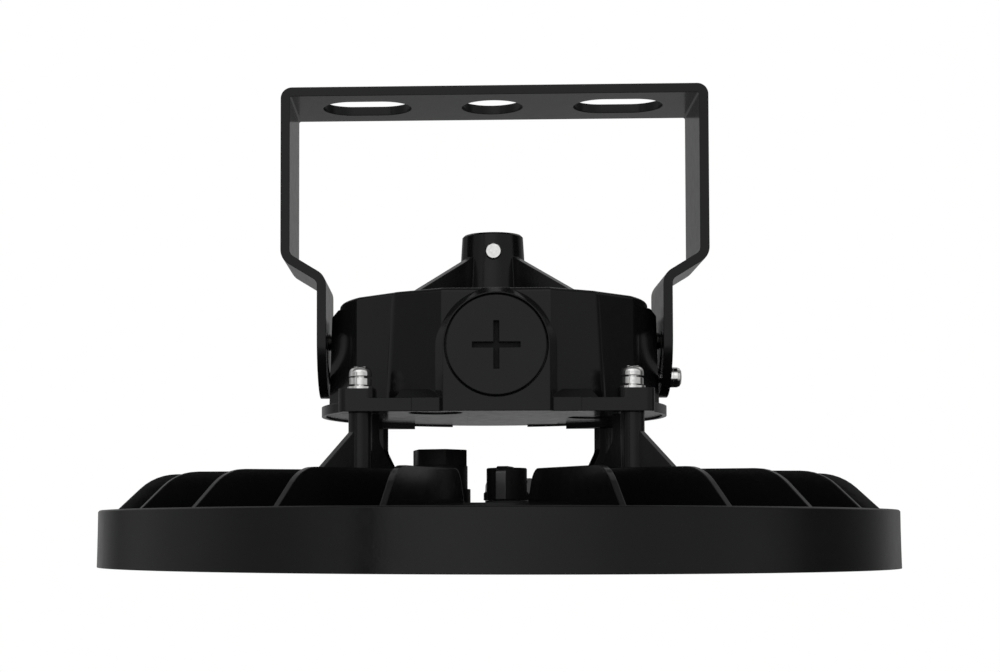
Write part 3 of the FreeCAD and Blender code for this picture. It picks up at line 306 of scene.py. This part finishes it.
def black_oxide():
    """Blackened steel of the screws in the plate under the housing."""
    return finish(
        "black_oxide", (0.018, 0.018, 0.019), (0.035, 0.034, 0.033), cloud_cell=0.002,
        roughness=(0.3, 0.45), rough_cell=0.0008, bump_cell=0.0005, bump_depth=0.00001,
        edge_r=0.0002, metal=0.6,
    )


def near_black_pivot_steel():
    """The pivots' steel, nearly black."""
    return finish(
        "near_black_pivot_steel", (0.012, 0.011, 0.01), (0.022, 0.021, 0.02), cloud_cell=0.002,
        roughness=(0.2, 0.3), rough_cell=0.0008, bump_cell=0.0005, bump_depth=0.000004,
        edge_r=0.0002, metal=0.5,
    )


def plain_case():
    """The driver's plain aluminium case."""
    return finish(
        "driver_case", (0.32, 0.33, 0.34), (0.42, 0.43, 0.44), cloud_cell=0.004, cloud_detail=3.0,
        roughness=(0.35, 0.5), rough_cell=0.001, bump_cell=0.0008, bump_depth=0.00001,
        edge_r=0.0004, metal=1.0,
    )


def moulded(name, dark, light, roughness, edge_r=0.0003, specular=0.3):
    """Moulded plastic or rubber with a fine spark-eroded grain."""
    return finish(
        name, dark, light, cloud_cell=0.01, roughness=roughness, rough_cell=0.002,
        bump_cell=0.0006, bump_detail=3.0, bump_depth=0.00001, edge_r=edge_r, specular=specular,
    )


def grey(level):
    """A plain grey."""
    return (level, level, level)


def black_nylon():
    """The gland and the breather."""
    return moulded("black_nylon", grey(0.0095), grey(0.0105), roughness=(0.24, 0.34), specular=0.05)


def rib_nylon_painted_highlight():
    """The breather's rib: the same black nylon, with a lighter colour that is a painted highlight of its lit
    facet, and more gloss.
    """
    return moulded("black_nylon_painted_highlight", grey(0.029), grey(0.033), roughness=(0.14, 0.2), specular=0.5)


def seal_rubber():
    """Gaskets and seals."""
    return moulded("seal_rubber", grey(0.012), grey(0.02), roughness=(0.65, 0.8))


def terminal_nylon():
    """The terminal block."""
    return moulded(
        "terminal_nylon", (0.5, 0.5, 0.46), (0.58, 0.58, 0.54), roughness=(0.4, 0.5), specular=0.5
    )


def board_white():
    """White lacquer on the light board."""
    return moulded("board_white", (0.7, 0.71, 0.7), (0.76, 0.77, 0.75), roughness=(0.35, 0.45), specular=0.5)


def phosphor():
    """Yellow silicone over the chips."""
    return moulded("phosphor", (0.72, 0.5, 0.06), (0.8, 0.6, 0.1), roughness=(0.4, 0.5), edge_r=0.0002)


def clear_lens():
    """Clear polycarbonate with a faint flow in it, which lets the studio's light through to the board."""
    material, tree, surface = shader("clear_polycarbonate")
    surface.inputs["Base Color"].default_value = (*LENS_TINT, 1.0)
    surface.inputs["Transmission Weight"].default_value = 1.0
    surface.inputs["IOR"].default_value = LENS_IOR
    surface.inputs["Coat Weight"].default_value = 1.0
    tree.links.new(spread(tree, grain(tree, 0.02), *LENS_ROUGHNESS), surface.inputs["Roughness"])
    relief(tree, surface, grain(tree, 0.015), depth=0.00002)
    path = tree.nodes.new("ShaderNodeLightPath")
    clear = tree.nodes.new("ShaderNodeBsdfTransparent")
    lighting = calc(tree, "MAXIMUM", path.outputs["Is Shadow Ray"], path.outputs["Is Diffuse Ray"])
    lens_look = mixed(tree, lighting, surface.outputs["BSDF"], clear.outputs["BSDF"])
    tree.links.new(lens_look, tree.nodes["Material Output"].inputs["Surface"])
    return material


def plug_coat():
    """The plug's coat: the castings' black, but left rough on the floor of its slot, below the face."""
    material = casting_coat("plug_black_coat")
    tree = material.node_tree
    surface = tree.nodes["Principled BSDF"]
    place = tree.nodes.new("ShaderNodeTexCoord")
    split = tree.nodes.new("ShaderNodeSeparateXYZ")
    tree.links.new(place.outputs["Object"], split.inputs["Vector"])
    depth = ranged(tree, split.outputs["Y"], PLUG_FACE_Y, PLUG_FACE_Y + PLUG_FADE_D)
    smooth = surface.inputs["Roughness"].links[0].from_socket
    rough = calc(tree, "MULTIPLY", depth, PLUG_SLOT_ROUGHNESS)
    tree.links.new(calc(tree, "MAXIMUM", smooth, rough), surface.inputs["Roughness"])
    return material


# What makes each material slot's finish.
FINISHES = {
    "cast_black_coat": lambda: casting_coat("cast_black_coat"),
    "yoke_black_coat": lambda: black_coat("yoke_black_coat"),
    "sheet_black_coat": lambda: black_coat("sheet_black_coat"),
    "bright_zinc_steel": bright_zinc,
    "spring_steel": bright_zinc,
    "black_screw": black_oxide,
    "clear_lens": clear_lens,
    "board_white": board_white,
    "phosphor": phosphor,
    "seal_rubber": seal_rubber,
    "driver_case": plain_case,
    "terminal_nylon": terminal_nylon,
    "black_nylon": black_nylon,
}


def dress_nodes(frame):
    """Gives each solid its slot's finish, and plug and pivots their own. Returns the finishes by slot."""
    made = {}
    for node in frame["nodes"].values():
        for place in node.material_slots:
            slot = place.material.name.split(".")[0]
            if slot not in made:
                made[slot] = FINISHES[slot]()
            place.material = made[slot]
    frame["nodes"]["knockout_plug"].material_slots[0].material = plug_coat()
    pivot_steel = near_black_pivot_steel()
    for side in ("left", "right"):
        frame["nodes"]["pivot_screw_" + side].material_slots[0].material = pivot_steel
    return made


def finished(bm, name, material, body, replaced=()):
    """Turns a closed shape into a piece with crisp edges, dresses it and lets it ride on its body."""
    bmesh.ops.remove_doubles(bm, verts=bm.verts[:], dist=MERGE_DIST)
    bmesh.ops.recalc_face_normals(bm, faces=bm.faces[:])
    mesh = bpy.data.meshes.new(name)
    bm.to_mesh(mesh)
    bm.free()
    mesh.shade_smooth()
    mesh.set_sharp_from_angle(angle=math.radians(SHARP_ANGLE))
    mesh.materials.append(material)
    piece = bpy.data.objects.new(name, mesh)
    bpy.context.scene.collection.objects.link(piece)
    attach(piece, body)
    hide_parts(*replaced)


def loop(bm, radius, z, segments, centre=(0.0, 0.0), turn=0.0):
    """An open ring of edges, level at z."""
    place = Matrix.Translation((*centre, z)) @ Matrix.Rotation(math.radians(turn), 4, "Z")
    made = bmesh.ops.create_circle(bm, cap_ends=False, segments=segments, radius=radius, matrix=place)
    return list({edge for vert in made["verts"] for edge in vert.link_edges})


def skin(bm, loops):
    """Joins rings of edges one after another."""
    for first, second in zip(loops, loops[1:]):
        bmesh.ops.bridge_loops(bm, edges=first + second)


def lid(bm, edges):
    """Closes a ring of edges with one face."""
    bmesh.ops.contextual_create(bm, geom=edges)


def turned_solid(bm, profile, segments, centre):
    """A round solid from its profile of radius and height, closed at both ends."""
    loops = [loop(bm, radius, z, segments, centre) for radius, z in profile]
    skin(bm, loops)
    lid(bm, loops[0])
    lid(bm, loops[-1])


def turn_about_z(bm, degrees):
    """Turns a shape about the origin's upright."""
    turn = Matrix.Rotation(math.radians(degrees), 3, "Z")
    bmesh.ops.rotate(bm, cent=(0, 0, 0), matrix=turn, verts=bm.verts[:])


def broken_edges(bm, edges, width, segments):
    """Bevels edges over that width on each side."""
    bmesh.ops.bevel(
        bm, geom=edges, offset=width, offset_type="OFFSET", segments=segments, profile=0.5, affect="EDGES",
        material=-1,
    )


def middle(node):
    """Where the upright axis of a node stands, and its lowest and highest level."""
    low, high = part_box(node)
    return ((low[0] + high[0]) / 2, (low[1] + high[1]) / 2), low[2], high[2]


def crossed_recess(bm, top):
    """The top of a pan head: a square with a cross sunk into it. Returns the square's rim."""
    grid = bmesh.ops.create_grid(bm, x_segments=3, y_segments=3, size=PAN_RECESS_R)
    narrowing = PAN_RECESS_HALF_W / (PAN_RECESS_R / 3)
    for axis, squeeze in enumerate(((narrowing, 1.0, 1.0), (1.0, narrowing, 1.0))):
        strip = [vert for vert in grid["verts"] if abs(vert.co[axis]) < PAN_RECESS_R / 2]
        bmesh.ops.scale(bm, vec=squeeze, verts=strip)
    bmesh.ops.translate(bm, vec=(0, 0, top), verts=bm.verts[:])
    centres = [(face, face.calc_center_median()) for face in bm.faces]
    cross = [face for face, centre in centres if min(abs(centre.x), abs(centre.y)) < PAN_RECESS_HALF_W]
    rim = [edge for edge in bm.edges if edge.is_boundary]
    sunk = bmesh.ops.extrude_face_region(bm, geom=cross)["geom"]
    floor_verts = [item for item in sunk if isinstance(item, bmesh.types.BMVert)]
    bmesh.ops.translate(bm, vec=(0, 0, -PAN_RECESS_D), verts=floor_verts)
    bmesh.ops.delete(bm, geom=[face for face in cross if face.is_valid], context="FACES_ONLY")
    return rim


def pan_screw(node, material):
    """A pan-head screw: a crossed recess in a domed head, and the shank below it."""
    centre, low, high = middle(node)
    seat = high - PAN_T
    bm = bmesh.new()
    rim = crossed_recess(bm, high)
    bmesh.ops.translate(bm, vec=(*centre, 0), verts=bm.verts[:])
    head = [loop(bm, PAN_R * out, seat + PAN_T * up, PAN_SEGMENTS, centre) for out, up in PAN_PROFILE]
    shank = [loop(bm, PAN_SHANK_R, z, PAN_SEGMENTS, centre) for z in (seat, low)]
    skin(bm, [rim] + head + shank)
    lid(bm, shank[-1])
    finished(bm, node + "_piece", material, "luminaire", [node])


def spring_ring(node, material):
    """A split spring washer that isn't pressed flat: one turn of a square bar, its ends behind."""
    centre, low, high = middle(node)
    bm = bmesh.new()
    stand = Matrix.Rotation(math.radians(90), 4, "X")
    section = bmesh.ops.create_grid(bm, x_segments=1, y_segments=1, size=0.5, matrix=stand)
    bmesh.ops.scale(bm, vec=(SPRING_OUT_R - SPRING_IN_R, 1.0, SPRING_SECTION_H), verts=section["verts"])
    start = ((SPRING_IN_R + SPRING_OUT_R) / 2, 0, low + SPRING_PLAY + SPRING_SECTION_H / 2)
    bmesh.ops.translate(bm, vec=start, verts=section["verts"])
    turn_about_z(bm, 90 - SPRING_SPLIT / 2)
    rise = high - low - SPRING_SECTION_H - 2 * SPRING_PLAY
    bmesh.ops.spin(
        bm, geom=bm.faces[:] + bm.edges[:] + bm.verts[:], cent=(0, 0, 0), axis=(0, 0, 1),
        dvec=(0, 0, rise / SPRING_STEPS), angle=-math.radians(360 - SPRING_SPLIT), steps=SPRING_STEPS,
        use_merge=False, use_duplicate=False,
    )
    bmesh.ops.translate(bm, vec=(*centre, 0), verts=bm.verts[:])
    finished(bm, node + "_piece", material, "luminaire", [node])


def gland_cap(node, material):
    """The gland's cap: a low hexagon with its edges just broken, over a round skirt, with the cable's eye."""
    centre, low, high = middle(node)
    bm = bmesh.new()
    hex_levels = (GLAND_HEX_Z, high)
    sides = [loop(bm, GLAND_HEX_R, z, GLAND_HEX_SIDES, centre, GLAND_HEX_TURN) for z in hex_levels]
    eye = [loop(bm, GLAND_EYE_R, z, GLAND_SEGMENTS, centre) for z in (high, GLAND_HEX_Z)]
    neck = [loop(bm, GLAND_NECK_R, z, GLAND_SEGMENTS, centre) for z in (GLAND_HEX_Z, low)]
    skirt_levels = (low, GLAND_HEX_Z - GLAND_SKIRT_GAP)
    skirt = [loop(bm, GLAND_SKIRT_R, z, GLAND_SEGMENTS, centre) for z in skirt_levels]
    skin(bm, sides + eye + neck + skirt + sides[:1])
    upright = [
        edge for edge in bm.edges
        if abs(edge.verts[0].co.z - edge.verts[1].co.z) > GLAND_HEX_LEAST_H
        and min((vert.co.xy - Vector(centre)).length for vert in edge.verts) > GLAND_HEX_R * NEARLY
    ]
    broken_edges(bm, sides[1] + upright, GLAND_EDGE, segments=2)
    finished(bm, "gland_cap_piece", material, "luminaire", [node])


def breather_cap(node, material):
    """The breather's stem and round cap."""
    centre, low, high = middle(node)
    top = high - VENT_RIB_H
    under = VENT_FLANGE_Z[0]
    bm = bmesh.new()
    profile = (
        (VENT_STEM_R, low), (VENT_STEM_R, under), (VENT_CAP_R, under),
        (VENT_CAP_R, top - VENT_CAP_EDGE), (VENT_CAP_R - VENT_CAP_EDGE, top),
    )
    turned_solid(bm, profile, VENT_SEGMENTS, centre)
    finished(bm, "vent_plug_piece", material, "luminaire", [node])


def breather_flange(node, material):
    """The breather's flange, which shows a little behind its cap."""
    (x, y), _, _ = middle(node)
    under, top = VENT_FLANGE_Z
    edge_w, edge_h = VENT_FLANGE_EDGE
    bm = bmesh.new()
    profile = ((VENT_FLANGE_R, under), (VENT_FLANGE_R, top - edge_h), (VENT_FLANGE_R - edge_w, top))
    turned_solid(bm, profile, VENT_SEGMENTS, (x, y + VENT_BASE_BACK))
    finished(bm, "vent_base_piece", material, "luminaire")


def breather_rib(node, material):
    """The rib across the breather's cap, down its front and back, with rounded upper ends."""
    (x, y), _, high = middle(node)
    under = VENT_FLANGE_Z[0]
    bm = bmesh.new()
    bmesh.ops.create_cube(bm, size=1.0)
    bmesh.ops.scale(bm, vec=(VENT_RIB_W, 2 * VENT_RIB_R, high - under), verts=bm.verts[:])
    ends = [
        edge for edge in bm.edges
        if all(vert.co.z > 0 for vert in edge.verts)
        and abs(edge.verts[0].co.y - edge.verts[1].co.y) < MERGE_DIST
    ]
    broken_edges(bm, ends, VENT_RIB_ROUND, segments=6)
    broken_edges(bm, bm.edges[:], VENT_RIB_EDGE, segments=1)
    turn_about_z(bm, VENT_RIB_TURN)
    bmesh.ops.translate(bm, vec=(x + VENT_RIB_SHIFT, y, (under + high) / 2), verts=bm.verts[:])
    finished(bm, "vent_rib_piece", material, "luminaire")


def one_dome():
    """The mesh of one flat dome, closed above, with its middle at the origin."""
    bm = bmesh.new()
    squash = Matrix.Diagonal((1.0, 1.0, DOME_FLATNESS, 1.0))
    bmesh.ops.create_uvsphere(
        bm, u_segments=DOME_SEGMENTS, v_segments=DOME_LEVELS, radius=DOME_R, matrix=squash
    )
    bmesh.ops.bisect_plane(
        bm, geom=bm.verts[:] + bm.edges[:] + bm.faces[:], dist=DOME_CUT_DIST, plane_co=(0, 0, 0),
        plane_no=(0, 0, 1), clear_outer=True,
    )
    lid(bm, [edge for edge in bm.edges if edge.is_boundary])
    mesh = bpy.data.meshes.new("one_dome")
    bm.to_mesh(mesh)
    bm.free()
    return mesh


def lens_domes(material):
    """One flat dome under each chip, moulded on the lens's lower face."""
    dome = one_dome()
    bm = bmesh.new()
    for radius, count in DOME_RINGS:
        for i in range(count):
            turn = math.tau * i / count
            before = len(bm.verts)
            bm.from_mesh(dome)
            bm.verts.ensure_lookup_table()
            place = (radius * math.cos(turn), radius * math.sin(turn), DOME_TOP_Z)
            bmesh.ops.translate(bm, vec=place, verts=bm.verts[before:])
    bpy.data.meshes.remove(dome)
    finished(bm, "lens_domes", material, "luminaire")


def fine_pieces(finishes):
    """The parts that the solids only stand for, or that are too fine for them."""
    for corner in CORNERS:
        pan_screw("column_screw_" + corner, finishes["bright_zinc_steel"])
        spring_ring("spring_washer_" + corner, finishes["spring_steel"])
    nylon = finishes["black_nylon"]
    gland_cap("gland_cap", nylon)
    breather_cap("vent_plug", nylon)
    breather_flange("vent_plug", nylon)
    # The rib's lighter nylon is a painted highlight of its lit facet.
    breather_rib("vent_plug", rib_nylon_painted_highlight())
    lens_domes(finishes["clear_lens"])


def floor_paint():
    """Pale paint that shows almost white, keeps a trace of the shadow, fades out and is clear from below."""
    material, tree, surface = shader("floor_paint")
    tones = two_tone(tree, grain(tree, FLOOR_CLOUD_CELL), FLOOR_COLOUR, FLOOR_LIGHTER)
    tree.links.new(tones, surface.inputs["Base Color"])
    surface.inputs["Roughness"].default_value = FLOOR_ROUGHNESS
    surface.inputs["Specular IOR Level"].default_value = 0.0
    path = tree.nodes.new("ShaderNodeLightPath")
    glossy = path.outputs["Is Glossy Ray"]
    place = tree.nodes.new("ShaderNodeTexCoord")
    from_middle = tree.nodes.new("ShaderNodeVectorMath")
    from_middle.operation = "LENGTH"
    tree.links.new(place.outputs["Object"], from_middle.inputs[0])
    wash = ranged(tree, from_middle.outputs["Value"], FLOOR_WASH_R, FLOOR_WHITE_R, FLOOR_WASH, 1.0)
    direct = calc(tree, "MAXIMUM", path.outputs["Is Camera Ray"], path.outputs["Is Transmission Ray"])
    share = calc(tree, "MAXIMUM", calc(tree, "MULTIPLY", direct, wash), glossy)
    white = tree.nodes.new("ShaderNodeEmission")
    tree.links.new(ranged(tree, glossy, 0.0, 1.0, 1.0, FLOOR_GLOSS), white.inputs["Strength"])
    upper_side = mixed(tree, share, surface.outputs["BSDF"], white.outputs["Emission"])
    clear = tree.nodes.new("ShaderNodeBsdfTransparent")
    side = tree.nodes.new("ShaderNodeNewGeometry")
    floor_look = mixed(tree, side.outputs["Backfacing"], upper_side, clear.outputs["BSDF"])
    tree.links.new(floor_look, tree.nodes["Material Output"].inputs["Surface"])
    return material


def floor():
    """The stage's floor."""
    bm = bmesh.new()
    place = Matrix.Translation((0, 0, FLOOR_Z))
    bmesh.ops.create_circle(bm, cap_ends=True, segments=FLOOR_SEGMENTS, radius=FLOOR_R, matrix=place)
    mesh = bpy.data.meshes.new("floor")
    bm.to_mesh(mesh)
    bm.free()
    mesh.materials.append(floor_paint())
    piece = bpy.data.objects.new("floor", mesh)
    bpy.context.scene.collection.objects.link(piece)


def brightness_ramp(tree, value, stops):
    """A ramp of plain grey levels over a value from 0 to 1."""
    ramp = tree.nodes.new("ShaderNodeValToRGB")
    elements = ramp.color_ramp.elements
    ready = len(elements)
    for i, (at, level) in enumerate(stops):
        stop = elements[i] if i < ready else elements.new(at)
        stop.position = at
        stop.color = (level, level, level, 1.0)
    tree.links.new(value, ramp.inputs["Fac"])
    return ramp.outputs["Color"]


def gloss_light(tree):
    """How bright the studio is in each direction, as the black coats mirror it."""
    place = tree.nodes.new("ShaderNodeTexCoord")
    split = tree.nodes.new("ShaderNodeSeparateXYZ")
    tree.links.new(place.outputs["Generated"], split.inputs["Vector"])
    across, back, height = split.outputs
    forth = calc(tree, "MULTIPLY", back, -1.0)
    turn = ranged(tree, calc(tree, "ARCTAN2", across, forth), -math.pi, math.pi)
    round_stops = [(0.5 + degrees / 360, level) for degrees, level in GLOSS_ROUND]
    horizon = brightness_ramp(tree, turn, round_stops)
    over = calc(tree, "DIVIDE", calc(tree, "ARCTAN2", height, forth), math.pi)
    sky = brightness_ramp(tree, over, GLOSS_OVERHEAD)
    high = ranged(tree, height, GLOSS_LOW, GLOSS_HIGH)
    low = calc(tree, "SUBTRACT", 1.0, high)
    return calc(tree, "MULTIPLY_ADD", sky, high, calc(tree, "MULTIPLY", horizon, low))


def studio_air():
    """White where it is seen, lights and darks where gloss mirrors it, and plain where it only lights."""
    world = bpy.data.worlds.new("studio_air")
    bpy.context.scene.world = world
    world.use_nodes = True
    tree = world.node_tree
    background = tree.nodes["Background"]
    background.inputs["Color"].default_value = (1.0, 1.0, 1.0, 1.0)
    path = tree.nodes.new("ShaderNodeLightPath")
    direct = calc(tree, "MAXIMUM", path.outputs["Is Camera Ray"], path.outputs["Is Transmission Ray"])
    glossy = calc(tree, "MULTIPLY", path.outputs["Is Glossy Ray"], gloss_light(tree))
    either = calc(tree, "MAXIMUM", direct, path.outputs["Is Glossy Ray"])
    plain = ranged(tree, either, 0.0, 1.0, WORLD_DIFFUSE, 0.0)
    seen = calc(tree, "MAXIMUM", direct, glossy)
    tree.links.new(calc(tree, "ADD", seen, plain), background.inputs["Strength"])


def soft_box():
    """The studio's lamp."""
    data = bpy.data.lights.new("soft_box_front", "AREA")
    data.shape = "RECTANGLE"
    data.size, data.size_y = LAMP_SIZE
    data.energy = LAMP_WATTS
    lamp = bpy.data.objects.new("soft_box_front", data)
    bpy.context.scene.collection.objects.link(lamp)
    lamp.location = LAMP_AT
    lamp.rotation_euler = (Vector(LAMP_AIM) - Vector(LAMP_AT)).to_track_quat("-Z", "Y").to_euler()


def camera():
    """The photograph's camera."""
    data = bpy.data.cameras.new("camera")
    data.lens = CAMERA_LENS
    data.sensor_width = CAMERA_SENSOR
    data.shift_x, data.shift_y = CAMERA_SHIFT
    thing = bpy.data.objects.new("camera", data)
    bpy.context.scene.collection.objects.link(thing)
    thing.location = CAMERA_AT
    thing.rotation_euler = (math.radians(90 + CAMERA_PITCH), 0, math.radians(CAMERA_TURN))
    bpy.context.scene.camera = thing


def main():
    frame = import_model()
    fine_pieces(dress_nodes(frame))
    floor()
    studio_air()
    soft_box()
    camera()
    bpy.context.scene.view_settings.view_transform = "Standard"


main()
